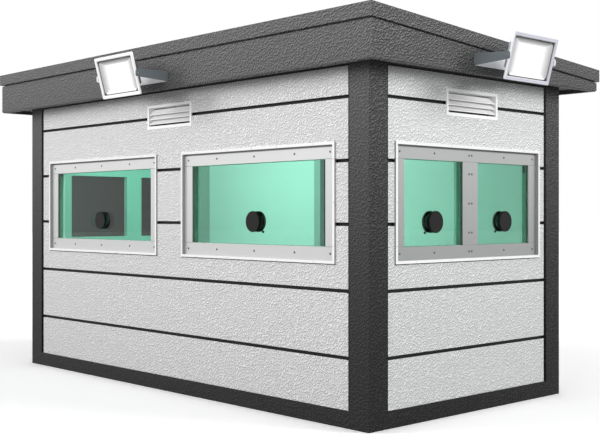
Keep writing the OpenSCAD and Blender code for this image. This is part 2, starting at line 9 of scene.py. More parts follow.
import bmesh
import bpy
import numpy as np
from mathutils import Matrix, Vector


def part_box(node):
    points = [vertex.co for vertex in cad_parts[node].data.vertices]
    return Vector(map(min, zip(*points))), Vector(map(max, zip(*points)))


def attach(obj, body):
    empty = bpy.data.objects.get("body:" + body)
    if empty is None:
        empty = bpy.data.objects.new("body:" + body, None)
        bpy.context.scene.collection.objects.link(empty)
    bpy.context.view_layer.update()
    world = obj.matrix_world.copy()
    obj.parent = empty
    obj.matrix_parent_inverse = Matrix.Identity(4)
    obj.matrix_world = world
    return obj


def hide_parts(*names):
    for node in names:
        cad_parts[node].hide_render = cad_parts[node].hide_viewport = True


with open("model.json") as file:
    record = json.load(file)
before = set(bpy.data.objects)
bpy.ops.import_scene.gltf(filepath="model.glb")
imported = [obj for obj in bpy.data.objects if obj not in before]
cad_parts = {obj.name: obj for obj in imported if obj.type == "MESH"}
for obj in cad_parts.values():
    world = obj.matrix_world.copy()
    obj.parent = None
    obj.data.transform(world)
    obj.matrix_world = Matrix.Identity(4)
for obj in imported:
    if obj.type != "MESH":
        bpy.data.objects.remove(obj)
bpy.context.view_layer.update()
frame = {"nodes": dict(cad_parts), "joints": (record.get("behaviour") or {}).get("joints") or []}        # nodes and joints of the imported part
NODES = frame["nodes"]
JOINTS = {joint["name"]: joint for joint in frame["joints"]}
MM = 0.001


def edges(name):
    """Lowest and highest corner of a node, as two arrays."""
    low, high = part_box(name)
    return np.array(low), np.array(high)


# Finishes

def linear(colour):
    """An sRGB hex colour such as "#D8D8D8" as linear RGBA, by the sRGB curve."""
    srgb = np.array([int(colour[i:i + 2], 16) for i in (1, 3, 5)]) / 255
    rgb = np.where(srgb <= 0.04045, srgb / 12.92, ((srgb + 0.055) / 1.055) ** 2.4)
    return (*rgb.tolist(), 1.0)


def add(tree, kind, inputs=(), **settings):
    """Adds one node: settings are its properties, and inputs gives its sockets a value or a link."""
    made = tree.nodes.new("ShaderNode" + kind)
    for name, value in settings.items():
        setattr(made, name, value)
    for key, value in dict(inputs).items():
        if isinstance(value, bpy.types.NodeSocket):
            tree.links.new(value, made.inputs[key])
        else:
            made.inputs[key].default_value = value
    return made


def finish_named(name):
    """A new material with an empty node tree."""
    material = bpy.data.materials.new(name)
    material.use_nodes = True
    material.node_tree.nodes.clear()
    return material, material.node_tree


def close(tree, shader):
    """Ends a material's tree with a shader."""
    add(tree, "OutputMaterial", {"Surface": shader})


def place(tree):
    """The point on the piece in metres, and its X, Y and Z."""
    point = add(tree, "TexCoord").outputs["Object"]
    parts = add(tree, "SeparateXYZ", {0: point}).outputs
    return point, parts["X"], parts["Y"], parts["Z"]


def facing(tree):
    """How squarely the face looks along X, Y and Z, each from 0 to 1."""
    normal = add(tree, "NewGeometry").outputs["True Normal"]
    size = add(tree, "VectorMath", {0: normal}, operation="ABSOLUTE").outputs[0]
    return add(tree, "SeparateXYZ", {0: size}).outputs


LIP, LIP_Z = 25 * MM, 2.1845             # plain lip of the fascia: its height and its middle
LIP_RELIEF = 0.2                         # height of the coating on that lip, as a share of a wrinkle's
GROOVES = (0.423, 0.827, 1.231, 1.617, 2.003, 2.199)     # joints between the planks, and at the soffit
LAP, JOINT_SHADE = 11 * MM, "#2C2C2C"    # dark paint of the joints, a painted shade of the grooves and under the soffit: its reach from there, and its colour
WRINKLE, WRINKLE_GAP = 15 * MM, 9 * MM   # length and spacing of the wrinkles, as fine as the picture shows
WRINKLE_RISE = math.radians(32)          # slope of the wrinkles
WRINKLE_EDGE = (0.5, 0.61)               # noise at the foot of a wrinkle and at its crest
DRIFT = 0.2 / WRINKLE                    # slow change of the pattern along X - Y
FLANK, FLANK_STEEP = 0.6, 0.3            # reach of a flank of painted shade and highlight in spacings, and the step of a full one
RELIEF_FADE = (-1.0, 0.7)                     # Y from which the relief and its painted highlight and shade fade towards the back, and where that is full


def stucco_relief(tree, point, shift=0.0):
    """Height of the sprayed relief, 0 to 1: short wrinkles that run up to the right on every wall.

    The dot products lay the slope, which rises with X + Y and Z, and the line across it on the noise's own
    axes, each divided by its wrinkle size, so the noise comes out drawn along the slope. A wrinkle stands
    where the noise is high. shift gives the height that many spacings away, up and to the left.
    """
    run, rise = math.cos(WRINKLE_RISE), math.sin(WRINKLE_RISE)
    along, across, depth = (
        add(tree, "VectorMath", {0: point, 1: axis}, operation="DOT_PRODUCT").outputs["Value"]
        for axis in (np.array([run, run, rise]) / WRINKLE, np.array([rise, rise, -run]) / WRINKLE_GAP,
                     (DRIFT, -DRIFT, 0)))
    moved = add(tree, "Math", {0: across, 1: shift}, operation="SUBTRACT").outputs[0]
    drawn = add(tree, "CombineXYZ", {0: along, 1: moved, 2: depth}).outputs[0]
    noise = add(tree, "TexNoise", {
        "Vector": drawn, "Scale": 1.0, "Detail": 0.5, "Roughness": 0.5, "Distortion": 0.2,
    }).outputs[0]
    return add(tree, "MapRange", {0: noise, 1: WRINKLE_EDGE[0], 2: WRINKLE_EDGE[1]},
               interpolation_type="SMOOTHSTEP").outputs[0]


def stucco(name, hollow, crest, depth, roughness, specular, foot, top, flanks, bend=2.0, rear=1.0, ends=1.0,
           fronts=1.0, joint=None):
    """Sprayed stucco coating: wrinkles of resin and grit on a matt ground, lighter on their crests, partly as
    a painted highlight.

    foot is the share of its lightness that the colour keeps at the ground: a painted shade darkens it
    downwards.
    From there it grows with the height to the power bend, up to top. flanks are the shares of the colour on
    the lower flank of a wrinkle, a painted shade, and on its upper flank, a painted highlight, as if lit from
    up and to the left. rear is the share of the relief, with its bump, lighter crests and painted flanks,
    that is left towards the back, where it fades out, and fronts the share of it on faces along Y. ends is
    the share of the colour on faces along X, a painted shade of those faces. joint names the axis of a
    plank's thickness: its edges, which look aside from that axis, keep the dark paint of the joints, a
    painted shade of the grooves and under the soffit, which laps a little over their faces. Without joint, a
    lip along the lower edge of the fascia is plain.
    """
    material, tree = finish_named(name)
    point, _, y, z = place(tree)
    faces = facing(tree)
    # The relief, with its painted highlight and shade, fades towards the back
    left = add(tree, "MapRange", {0: y, 1: RELIEF_FADE[0], 2: RELIEF_FADE[1], 3: 1.0, 4: rear}).outputs[0]
    kept = add(tree, "MapRange", {0: faces["Y"], 3: left, 4: fronts}).outputs[0]
    relief, beside = stucco_relief(tree, point), stucco_relief(tree, point, FLANK)
    fall = add(tree, "Math", {0: relief, 1: beside}, operation="SUBTRACT").outputs[0]
    fall = add(tree, "Math", {0: fall, 1: kept}, operation="MULTIPLY").outputs[0]
    if not joint:
        plain = add(tree, "Math", {0: z, 1: LIP_Z, 2: LIP / 2}, operation="COMPARE").outputs[0]
        relief = add(tree, "MapRange", {0: plain, 3: relief, 4: LIP_RELIEF}).outputs[0]
    # Lighter crests, partly a painted highlight
    crests = add(tree, "Math", {0: relief, 1: kept}, operation="MULTIPLY").outputs[0]
    colour = add(tree, "Mix", {0: crests, 6: linear(hollow), 7: linear(crest)}, data_type="RGBA").outputs[2]
    # Painted shade: the colour darkens towards the ground, down to foot there
    rise = add(tree, "MapRange", {0: z, 1: 0.0, 2: top}).outputs[0]
    curve = add(tree, "Math", {0: rise, 1: bend}, operation="POWER").outputs[0]
    shade = add(tree, "MapRange", {0: curve, 3: foot, 4: 1.0}).outputs[0]
    # Painted shade: faces along X keep only ends of the colour
    turned = add(tree, "MapRange", {0: faces["X"], 3: 1.0, 4: ends}).outputs[0]
    # Painted shade on the lower flank of each wrinkle, painted highlight on its upper flank
    flank_light = add(tree, "MapRange", {
        0: fall, 1: -FLANK_STEEP, 2: FLANK_STEEP, 3: flanks[0], 4: flanks[1],
    }).outputs[0]
    for share in (turned, flank_light):
        shade = add(tree, "Math", {0: shade, 1: share}, operation="MULTIPLY").outputs[0]
    colour = add(tree, "VectorMath", {0: colour, "Scale": shade}, operation="SCALE").outputs[0]
    # Painted shade: plank edges in the grooves, and bands beside them and at the soffit, take the dark joint
    # colour
    if joint:
        bare = faces[joint]
        for height in GROOVES:
            lap = add(tree, "Math", {0: z, 1: height, 2: LAP}, operation="COMPARE").outputs[0]
            bare = add(tree, "Math", {0: bare, 1: lap}, operation="SUBTRACT", use_clamp=True).outputs[0]
        colour = add(tree, "Mix", {0: bare, 6: linear(JOINT_SHADE), 7: colour}, data_type="RGBA").outputs[2]
    bump = add(tree, "Bump", {"Height": crests, "Strength": 1.0, "Distance": depth}).outputs[0]
    close(tree, add(tree, "BsdfPrincipled", {
        "Base Color": colour, "Roughness": roughness, "Specular IOR Level": specular, "Normal": bump,
    }).outputs[0])
    return material


# Sizes of the patterns in the coats. The peel is finer on real paint, and as coarse here as it needs to show.
PEEL, PAINT_CLOUD, COAT_CLOUD = 6 * MM, 180 * MM, 120 * MM


def paint(name, colour, roughness=0.4, specular=0.5, metallic=0.0, peel=0.15 * MM):
    """Powder coat, plating or rubber: an even colour with a faint orange peel and cloudy gloss."""
    material, tree = finish_named(name)
    point = place(tree)[0]
    peel_noise = add(tree, "TexNoise", {"Vector": point, "Scale": 1 / PEEL, "Detail": 1.0}).outputs[0]
    cloud = add(tree, "TexNoise", {"Vector": point, "Scale": 1 / PAINT_CLOUD, "Detail": 3.0}).outputs[0]
    base = np.array(linear(colour))
    darker, lighter = base * [0.94, 0.94, 0.94, 1], np.minimum(base * [1.06, 1.06, 1.06, 1], 1)
    tone = add(tree, "Mix", {0: cloud, 6: darker, 7: lighter}, data_type="RGBA").outputs[2]
    gloss = add(tree, "MapRange", {0: cloud, 3: roughness - 0.06, 4: roughness + 0.06}).outputs[0]
    bump = add(tree, "Bump", {"Height": peel_noise, "Strength": 0.6, "Distance": peel}).outputs[0]
    close(tree, add(tree, "BsdfPrincipled", {
        "Base Color": tone, "Roughness": gloss, "Specular IOR Level": specular, "Metallic": metallic,
        "Normal": bump,
    }).outputs[0])
    return material


def close_coat(tree, point, colour, roughness=0.4, specular=0.5):
    """Ends a tree with a smooth coat of a colour that is worked out from place to place, in cloudy gloss."""
    cloud = add(tree, "TexNoise", {"Vector": point, "Scale": 1 / COAT_CLOUD, "Detail": 3.0}).outputs[0]
    gloss = add(tree, "MapRange", {0: cloud, 3: roughness - 0.08, 4: roughness + 0.08}).outputs[0]
    close(tree, add(tree, "BsdfPrincipled", {
        "Base Color": colour, "Roughness": gloss, "Specular IOR Level": specular,
    }).outputs[0])


def two_tone(name, inner, outer, share, roughness=0.5, specular=0.5):
    """Paint that changes where share(tree, x, y), a 0 to 1 socket, says that the outer colour lies."""
    material, tree = finish_named(name)
    point, x, y, _ = place(tree)
    colour = add(tree, "Mix", {0: share(tree, x, y), 6: linear(inner), 7: linear(outer)},
                 data_type="RGBA").outputs[2]
    close_coat(tree, point, colour, roughness, specular)
    return material


POST_X, POST_Y = 2.0, 1.0                # outer faces of the corner posts


def outside(inset_x, inset_y):
    """A share for two_tone: 1 further out than the posts' outer faces less an inset, along X or Y, else 0."""
    def share(tree, x, y):
        outs = {}
        for key, (along, reach) in enumerate(((x, POST_X - inset_x), (y, POST_Y - inset_y))):
            far = add(tree, "Math", {0: along}, operation="ABSOLUTE").outputs[0]
            outs[key] = add(tree, "Math", {0: far, 1: reach}, operation="GREATER_THAN").outputs[0]
        return add(tree, "Math", outs, operation="MAXIMUM").outputs[0]
    return share


def past(axis, limit):
    """A share for two_tone: 1 where a point lies past a limit along the axis, X or Y, else 0."""
    return lambda tree, x, y: add(
        tree, "Math", {0: x if axis == "X" else y, 1: limit}, operation="GREATER_THAN").outputs[0]


GLASS_GREEN = "#99E1C8"
COATED_GLASS = (0.3, 0.3, 0.3, 1.0)      # share of the mirror of bare glass that its coating leaves


def armoured_glass(name, film=None, film_x=0.0):
    """Laminated float glass: clear and smooth, with the green that iron gives a thick pane.

    A film of a dark colour lies on its inner face, at X above film_x.
    """
    material, tree = finish_named(name)
    shader = add(tree, "BsdfPrincipled", {
        "Base Color": linear(GLASS_GREEN), "Roughness": 0.0, "IOR": 1.45, "Transmission Weight": 1.0,
        "Specular Tint": COATED_GLASS,
    }).outputs[0]
    if film:
        x = place(tree)[1]
        dark = add(tree, "BsdfPrincipled", {
            "Base Color": linear(film), "Roughness": 0.6, "Specular IOR Level": 0.0,
        }).outputs[0]
        inner = add(tree, "Math", {0: x, 1: film_x}, operation="GREATER_THAN").outputs[0]
        shader = add(tree, "MixShader", {0: inner, 1: shader, 2: dark}).outputs[0]
    close(tree, shader)
    return material


def clear_cover(name):
    """Tempered cover glass, all but unseen: a thin film of reflection over what lies behind it."""
    material, tree = finish_named(name)
    close(tree, add(tree, "BsdfPrincipled", {
        "Base Color": linear("#FFFFFF"), "Roughness": 0.05, "Alpha": 0.03,
    }).outputs[0])
    return material


def glowing(name, colour, glow):
    """White diffuser of a lamp, with the faint light of the lamp behind it."""
    material, tree = finish_named(name)
    close(tree, add(tree, "BsdfPrincipled", {
        "Base Color": linear(colour), "Roughness": 0.5, "Emission Color": linear(colour),
        "Emission Strength": glow,
    }).outputs[0])
    return material


# The grit is finer on real felt, and as coarse here as it needs to show.
GRIT, GRIT_RISE = 4 * MM, 0.8 * MM
ROLL, ROLL_EDGE, ROLL_RISE = 1.0, 12 * MM, 4 * MM        # width of a roll, and the step at its lap


def felt(name, hollow, grit):
    """Mineral roofing felt: a speckle of grit, and a step at each lap of the rolls along X."""
    material, tree = finish_named(name)
    point, x, _, _ = place(tree)
    grains = add(tree, "TexNoise", {"Vector": point, "Scale": 1 / GRIT, "Detail": 2.0}).outputs[0]
    colour = add(tree, "Mix", {0: grains, 6: linear(hollow), 7: linear(grit)}, data_type="RGBA").outputs[2]
    rolls = add(tree, "Math", {0: x, 1: ROLL}, operation="DIVIDE").outputs[0]
    along = add(tree, "Math", {0: rolls}, operation="FRACT").outputs[0]
    lap = add(tree, "MapRange", {0: along, 1: 0.0, 2: ROLL_EDGE / ROLL, 3: 1.0, 4: 0.0}).outputs[0]
    rough = add(tree, "Bump", {"Height": grains, "Strength": 1.0, "Distance": GRIT_RISE}).outputs[0]
    bump = add(tree, "Bump", {
        "Height": lap, "Strength": 1.0, "Distance": ROLL_RISE, "Normal": rough,
    }).outputs[0]
    close(tree, add(tree, "BsdfPrincipled", {
        "Base Color": colour, "Roughness": 0.9, "Specular IOR Level": 0.2, "Normal": bump,
    }).outputs[0])
    return material


BAR_SPAN = (1.0, 1.7)                    # heights between which the bars grow lighter
UNDER_FLANGE = (1.704, 1.710)            # heights between which they darken under the upper flange, a painted shadow of it
FLANGE_SHADOW = "#4A4A4A"


def bar_coat(name, low, high):
    """Powder coat of the bars: darker low down, with a painted shadow of the upper flange along their top."""
    material, tree = finish_named(name)
    point, _, _, z = place(tree)
    rise = add(tree, "MapRange", {0: z, 1: BAR_SPAN[0], 2: BAR_SPAN[1]}).outputs[0]
    tone = add(tree, "Mix", {0: rise, 6: linear(low), 7: linear(high)}, data_type="RGBA").outputs[2]
    # Painted shadow of the upper flange
    flange_shadow = add(tree, "MapRange", {0: z, 1: UNDER_FLANGE[0], 2: UNDER_FLANGE[1]}).outputs[0]
    colour = add(tree, "Mix", {0: flange_shadow, 6: tone, 7: linear(FLANGE_SHADOW)}, data_type="RGBA").outputs[2]
    close_coat(tree, point, colour)
    return material


SHADED_LINING_W, SHADED_LINING_IN = 28 * MM, 85 * MM         # width of the band of painted shade on the lining behind the glass, and its depth behind the posts' faces
FLANGE_REACH = 60 * MM                   # depth behind those faces that still counts as the flange
# White coat, with grey and dark green painted shade
FRAME_WHITE, FLANGE_SIDE_SHADE, SHADED_LINING_GREEN = "#E6E6E6", "#9C9C9C", "#438C74"
SQUARE = 0.5                             # share of a face's look below which it looks aside from an axis


def frame_coat(name, axis, face):
    """White powder coat of a window frame, with painted shade: grey on the sides of its flange, and dark
    green on the lining of the opening behind the glass, where the glass's shade falls.

    The frame's outer face lies near the distance face from the middle along the axis, X or Y. A side of the
    flange is upright, looks aside from the axis and lies near that face. The shaded band of the lining lies
    behind the glass: it looks aside too, half the band's width round its own depth.
    """
    material, tree = finish_named(name)
    point, x, y, _ = place(tree)
    out = add(tree, "Math", {0: x if axis == "X" else y}, operation="ABSOLUTE").outputs[0]
    faces = facing(tree)
    level = add(tree, "Math", {0: faces[axis], 1: faces["Z"]}, operation="MAXIMUM").outputs[0]
    upright = add(tree, "Math", {0: level, 1: SQUARE}, operation="LESS_THAN").outputs[0]
    aside = add(tree, "Math", {0: faces[axis], 1: SQUARE}, operation="LESS_THAN").outputs[0]
    near = add(tree, "Math", {0: out, 1: face - FLANGE_REACH}, operation="GREATER_THAN").outputs[0]
    behind = add(tree, "Math", {0: out, 1: face - SHADED_LINING_IN, 2: SHADED_LINING_W / 2}, operation="COMPARE").outputs[0]
    colour = linear(FRAME_WHITE)
    for here, looks, tone in ((near, upright, FLANGE_SIDE_SHADE), (behind, aside, SHADED_LINING_GREEN)):
        share = add(tree, "Math", {0: here, 1: looks}, operation="MULTIPLY").outputs[0]
        colour = add(tree, "Mix", {0: share, 6: colour, 7: linear(tone)}, data_type="RGBA").outputs[2]
    close_coat(tree, point, colour)
    return material


ARM_MIDDLE = 244 * MM                    # from the lamp's middle to the middle of an arm's thickness


def outside_arm(tree, x, y):
    """A share for two_tone: 1 on the outer half of a yoke's arms, either side of the booth's middle lines."""
    far_x, far_y = (add(tree, "Math", {0: along}, operation="ABSOLUTE").outputs[0] for along in (x, y))
    away = add(tree, "Math", {0: far_x, 1: far_y}, operation="MINIMUM").outputs[0]
    return add(tree, "Math", {0: away, 1: ARM_MIDDLE}, operation="GREATER_THAN").outputs[0]


# One dark coat and one pale coat, each in copies: where the copies differ, in colour, foot, top, bend, flanks
# and ends, that is painted light and shade
dark_stucco = stucco("dark_sprayed_stucco", "#5C5C5C", "#6E6E6E", 3 * MM, 0.5, 0.08, foot=0.2, top=2.4,
                     flanks=(0.3, 1.85), rear=0.4, ends=0.8, fronts=0.4)
post_stucco = stucco("dark_post_stucco", "#5C5C5C", "#767676", 3 * MM, 0.5, 0.08, foot=0.16, top=2.4,
                     flanks=(0.4, 1.75), ends=0.66, fronts=0.3)
front_stucco = stucco("pale_sprayed_stucco_fronts", "#E4E4E4", "#F0F0F0", 4 * MM, 0.7, 0.2, foot=0.775,
                      top=2.25, flanks=(0.68, 1.18), bend=1.0, joint="Y")
end_stucco = stucco("pale_sprayed_stucco_ends", "#DFE1E0", "#EBEDEC", 4 * MM, 0.7, 0.2, foot=0.8, top=1.8,
                    flanks=(0.68, 1.18), joint="X")
# Linings and doors, whose inner and outer sides differ
lining_edge = outside(50 * MM, 50 * MM)
wall_primer = two_tone("white_lining_black_primer", "#ECECEC", "#1A1A1A", lining_edge, specular=0.1)
# The left wall's lining is the white one painted grey green, a painted shade
shaded_left_lining = two_tone("white_lining_painted_shade_black_primer", "#A9B2AE", "#101010", lining_edge, specular=0.1)
# The soffit, the ceiling outside the walls, is near black: a painted shade under the eaves
ceiling_paint = two_tone("white_ceiling_soffit_painted_shade", "#ECECEC", "#161616", outside(10 * MM, 10 * MM),
                         specular=0.1)
leaf_paint = two_tone("door_leaf_coat", "#9C9C9C", "#484848", outside(0, 30 * MM))
door_paint = two_tone("door_frame_coat", "#B4B4B4", "#444444", outside(0, 70 * MM))
white_paint = paint("white_powder_coat", "#F1F1F1")
front_bar_paint = bar_coat("pale_grey_powder_coat", "#BABABA", "#CBCCCB")
# The end bars are the front's coat painted darker, a painted shade
end_bar_shaded_paint = bar_coat("grey_powder_coat_painted_shade", "#868887", "#A0A2A1")
vent_paint = paint("white_louvre_paint", "#F4F4F4")
green_glass = armoured_glass("green_laminated_glass")
dark_glass = armoured_glass("green_glass_dark_film", film="#481F2A", film_x=55 * MM - POST_X)
port_black = paint("black_anodised_aluminium", "#161616", roughness=0.45, specular=0.08)
rubber = paint("black_glazing_rubber", "#0C0C0C", roughness=0.7, specular=0.05)
sealant = paint("grey_joint_sealant", "#7C7C7C", roughness=0.7)
zinc = paint("bright_zinc_plate", "#C9CBCE", roughness=0.3, metallic=1.0)
screw_steel = paint("blackened_screw_steel", "#5E6064", roughness=0.35, metallic=1.0)
roof_felt = felt("grey_mineral_felt", "#3E3E3E", "#5C5C5C")
vinyl = paint("grey_floor_vinyl", "#8A8A88", roughness=0.6)
panel_white = glowing("lit_white_diffuser", "#FFFFFF", 0.5)
screen_black = paint("black_insect_screen", "#161616", roughness=0.8)
cover_glass = clear_cover("clear_cover_glass")
# Yoke: slate on the outer halves of its arms; the white of its strip and of the arms' inner halves is a
# painted reflection
yoke_painted_reflection = two_tone("slate_yoke_painted_reflection", "#FDFDFF", "#747C80", outside_arm, roughness=0.4)
front_frame_paint = frame_coat("white_frame_coat_front", "Y", POST_Y)
end_frame_paint = frame_coat("white_frame_coat_ends", "X", POST_X)
# The left window's frame, whose inside is a grey green that shows through the front
left_frame_paint = two_tone("white_coat_green_inside", "#F1F1F1", "#A4CCC2", past("X", 80 * MM - POST_X),
                            roughness=0.4)

FINISH = {
    dark_stucco: ["fascia", "roof_trim"],
    post_stucco: ["base_frame", "corner_posts"],
    front_stucco: ["front_cladding", "back_cladding"],
    end_stucco: ["left_cladding", "right_cladding"],
    wall_primer: ["front_wall", "back_wall", "right_wall"],
    shaded_left_lining: ["left_wall"],
    ceiling_paint: ["ceiling"],
    vinyl: ["floor_deck"],
    roof_felt: ["roof_sheet"],
    front_frame_paint: ["front_left_window", "front_right_window"],
    end_frame_paint: ["right_window"],
    left_frame_paint: ["left_window"],
    front_bar_paint: ["front_left_bars", "front_right_bars"],
    end_bar_shaded_paint: ["left_bars", "right_bars"],
    green_glass: ["front_left_glass", "front_right_glass", "right_glass"],
    dark_glass: ["left_glass"],
    port_black: ["front_ports", "left_ports", "right_ports"],
    vent_paint: ["front_vent", "left_vent", "right_vent"],
    yoke_painted_reflection: ["front_lamp_yoke", "right_lamp_yoke"],
    white_paint: ["front_lamp_head", "right_lamp_head"],
    cover_glass: ["front_lamp_lens", "right_lamp_lens"],
    zinc: ["front_lamp_pivots", "right_lamp_pivots", "door_hinges", "door_handle"],
    door_paint: ["door_frame"],
    leaf_paint: ["door_leaf"],
}
for material, names in FINISH.items():
    for name in names:
        NODES[name].data.materials.clear()
        NODES[name].data.materials.append(material)


# Surfaces from arrays

def grid_faces(rows, columns, round_trip=False):
    """Quads between the lines of a grid numbered row by row, whose rows close on themselves.

    With round_trip the last row also joins the first, which makes a closed loop of the section.
    """
    i, j = np.meshgrid(np.arange(rows if round_trip else rows - 1), np.arange(columns), indexing="ij")
    down, right = (i + 1) % rows, (j + 1) % columns
    return np.stack([i * columns + j, i * columns + right, down * columns + right, down * columns + j],
                    -1).reshape(-1, 4)


def lofts(name, rings, material, body="booth", round_trip=False):
    """One object of closed skins through rings, given as an array of copies, rows, columns and XYZ.

    Each copy is a grid of quads from ring to ring. Its first and last ring are capped, or with round_trip
    joined to each other.
    """
    copies, rows, columns, _ = rings.shape
    starts = np.arange(copies)[:, None, None] * rows * columns
    faces = (grid_faces(rows, columns, round_trip)[None] + starts).reshape(-1, 4).tolist()
    if not round_trip:
        ends = np.stack([np.arange(columns)[::-1], np.arange(columns) + (rows - 1) * columns])
        faces += (ends[None] + starts).reshape(-1, columns).tolist()
    mesh = bpy.data.meshes.new(name)
    mesh.from_pydata(rings.reshape(-1, 3).tolist(), [], faces)
    shape = bmesh.new()
    shape.from_mesh(mesh)
    bmesh.ops.recalc_face_normals(shape, faces=shape.faces)
    shape.to_mesh(mesh)
    shape.free()
    mesh.materials.append(material)
    made = bpy.data.objects.new(name, mesh)
    bpy.context.scene.collection.objects.link(made)
    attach(made, body)
    return made


def round_rectangle(half_w, half_h, radius, corner=5):
    """Points round a rectangle with round corners: four quarter circles about the corners' centres."""
    turn = np.linspace(0, math.pi / 2, corner)[None] + np.arange(4)[:, None] * math.pi / 2
    sign = np.array([[1, 1], [-1, 1], [-1, -1], [1, -1]])[:, None]
    centre = sign * np.array([half_w - radius, half_h - radius])
    return (centre + radius * np.stack([np.cos(turn), np.sin(turn)], -1)).reshape(-1, 2)


UP = np.array([0.0, 0.0, 1.0])
# The sides of the booth: their direction to the right, seen from outside, and their direction outwards
SIDES = {
    "front": (np.array([1.0, 0, 0]), np.array([0, -1.0, 0])),
    "right": (np.array([0, 1.0, 0]), np.array([1.0, 0, 0])),
    "left": (np.array([0, -1.0, 0]), np.array([-1.0, 0, 0])),
}


def side_sheet(name, side):
    """A node's outer face on a side: its middle there, and its half width and half height."""
    low, high = edges(name)
    right, out = SIDES[side]
    middle = (low + high) / 2
    size = (high - low) / 2
    return middle + out * (size @ np.abs(out)), size @ np.abs(right), size[2]


def placed(side, origin, points):
    """Points of a side's own frame, right, up and outwards, set at an origin."""
    right, out = SIDES[side]
    return origin + points[..., :1] * right + points[..., 1:2] * UP + points[..., 2:] * out


def plates(name, side, origin, spans, material):
    """Flat plates on a side, each from its low to its high corner in right, up and out.

    A plate is a loft of two rings, and a ring is the rectangle of its right and up at one depth.
    """
    spans = np.array(spans, float)
    right, up = spans[:, [0, 1, 1, 0], 0], spans[:, [0, 0, 1, 1], 1]
    shape = (len(spans), 2, 4)
    rings = np.stack([np.broadcast_to(right[:, None], shape), np.broadcast_to(up[:, None], shape),
                      np.broadcast_to(spans[:, :, 2, None], shape)], -1)
    return lofts(name, placed(side, origin, rings), material)


# Screws and joints of the windows

def screw_heads(name, side, origin, places, diameter, material):
    """Domed screw heads with a socket: a profile of radius and height turned round each place.

    The profile climbs the rim, follows the dome and drops into the socket. Its height is a third of the
    diameter and its foot lies a little below the face that carries it.
    """
    profile = np.array([[0.5, -0.05], [0.5, 0.08], [0.44, 0.2], [0.33, 0.29], [0.2, 0.32], [0.19, 0.12]])
    turn = np.arange(12) * math.tau / 12
    ring = np.stack([np.cos(turn), np.sin(turn)], -1)
    head = np.concatenate([profile[:, None, :1] * ring[None], np.broadcast_to(
        profile[:, None, 1:], (len(profile), len(turn), 1))], -1) * diameter
    spots = np.concatenate([places, np.zeros((len(places), 1))], 1)
    return lofts(name, placed(side, origin, spots[:, None, None] + head[None]), material)


def pairs(rights, ups):
    """Every place whose distance to the right and up is in the two lists."""
    return np.stack(np.meshgrid(rights, ups), -1).reshape(-1, 2)


BAR_W, FLANGE_W = 85 * MM, 18 * MM
MULLION = 79 * MM                        # half the width of the middle bar
BAR_SCREW, FLANGE_SCREW = 14 * MM, 9 * MM
PAIR = 14 * MM                           # half the distance between the two screws of a pair
SEAM_W, SEAM_T = 3 * MM, 0.4 * MM
SHADOW_STRIP, FLANGE_T = 5 * MM, 10 * MM         # size of a black strip under the lower flange, a painted shadow of it, and the flange's thickness
for window, side in (("front_left", "front"), ("front_right", "front"), ("left", "left"), ("right", "right")):
    origin, half_w, half_h = side_sheet(window + "_bars", side)
    last, high = half_w - BAR_W / 2, half_h - BAR_W / 2
    seams = [(-half_w, BAR_W - half_w), (half_w - BAR_W, half_w)]
    if side == "front":
        spots = pairs(np.array([-1, -0.55, 0, 0.55, 1]) * last, [-high, high])
        flange_rights, flange_ups = [-0.76, -0.325, 0, 0.325, 0.76], [-0.71, 0, 0.71]
    else:
        middle = (half_w - BAR_W + MULLION) / 2
        spots = np.concatenate([
            pairs([-last, -middle, -PAIR, PAIR, middle, last], [-high, high]),
            pairs([-PAIR, PAIR], [-high * 0.61, 0, high * 0.61]),
        ])
        flange_rights, flange_ups = [-0.75, -0.295, 0.295, 0.75], [-0.71, 0, 0.71]
        seams.append((-MULLION, MULLION))
    screw_heads(window + "_bar_screws", side, origin, spots, BAR_SCREW, screw_steel)
    joint = half_h - BAR_W
    plates(window + "_bar_seams", side, origin,
           [[[a, s * joint - SEAM_W / 2, -SEAM_T], [b, s * joint + SEAM_W / 2, SEAM_T]]
            for a, b in seams for s in (-1, 1)], sealant)
    origin, half_w, half_h = side_sheet(window + "_window", side)
    edge_w, edge_h = half_w - FLANGE_W / 2, half_h - FLANGE_W / 2
    spots = np.concatenate([
        pairs(np.array(flange_rights) * half_w, [-edge_h, edge_h]),
        pairs([-edge_w, edge_w], np.array(flange_ups) * half_h),
    ])
    screw_heads(window + "_flange_screws", side, origin, spots, FLANGE_SCREW, zinc)
    # Black strip on the wall under the lower flange: a painted shadow
    plates(window + "_shadow_strip", side, origin,
           [[[-half_w, -half_h - SHADOW_STRIP, -FLANGE_T], [half_w, -half_h, SHADOW_STRIP - FLANGE_T]]], rubber)

# Packers that show at the top of the far side of two openings, behind the glass
PACKER_IN, PACKER_OUT, PACKER_T = -93 * MM, -76 * MM, 3 * MM
for window, side, far, tall in (("front_left", "front", -1, 22 * MM), ("right", "right", 1, 52 * MM)):
    origin, half_w, half_h = side_sheet(window + "_window", side)
    edge, top = half_w - FLANGE_W - BAR_W, half_h - FLANGE_W - BAR_W
    across = sorted([far * edge, far * (edge - PACKER_T)])
    plates(window + "_packer", side, origin,
           [[[across[0], top - tall, PACKER_IN], [across[1], top, PACKER_OUT]]], rubber)

# Screens behind the vents' blades
VENT_RIM, SCREEN_T, SCREEN_IN = 21 * MM, 2 * MM, 58 * MM
for side in SIDES:
    origin, half_w, half_h = side_sheet(side + "_vent", side)
    corner = np.array([half_w - VENT_RIM, half_h - VENT_RIM])
    plates(side + "_vent_screen", side, origin,
           [[[*-corner, -SCREEN_IN - SCREEN_T], [*corner, -SCREEN_IN]]], screen_black)

# Floodlights

